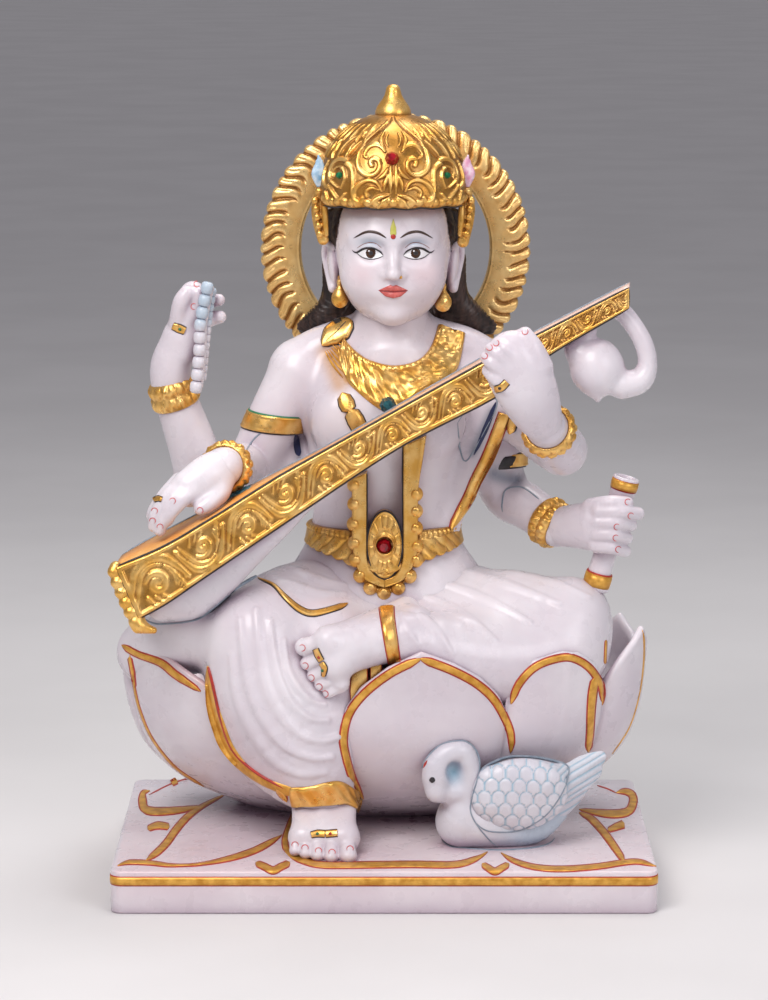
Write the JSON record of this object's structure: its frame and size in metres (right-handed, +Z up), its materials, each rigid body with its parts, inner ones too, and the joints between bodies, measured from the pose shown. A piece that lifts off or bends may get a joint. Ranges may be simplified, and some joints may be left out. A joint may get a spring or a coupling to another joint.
{
  "type": "saraswati figure",
  "caption": "Seated goddess figure playing a long lute, with rosary, scroll and resting swan, on an open lotus over a rectangular slab, a fluted halo behind the crowned head.",
  "frame": {"origin": "centre of the slab's underside", "axes": "+Z up, the figure faces -Y, +X is the viewer's right"},
  "size_m": [0.4192, 0.268, 0.6098],
  "materials": {
    "marble": "polished white marble, painted and gilded in places",
    "red_stone": "polished red set stone",
    "green_stone": "polished green set stone",
    "teal_stone": "polished blue-green set stone"
  },
  "bodies": {
    "root": {"figure": "marble", "crown_stone": "red_stone", "crown_side_stone_left": "green_stone", "crown_side_stone_right": "green_stone", "belt_stone": "red_stone", "pendant_stone": "teal_stone"}
  },
  "joints": []
}
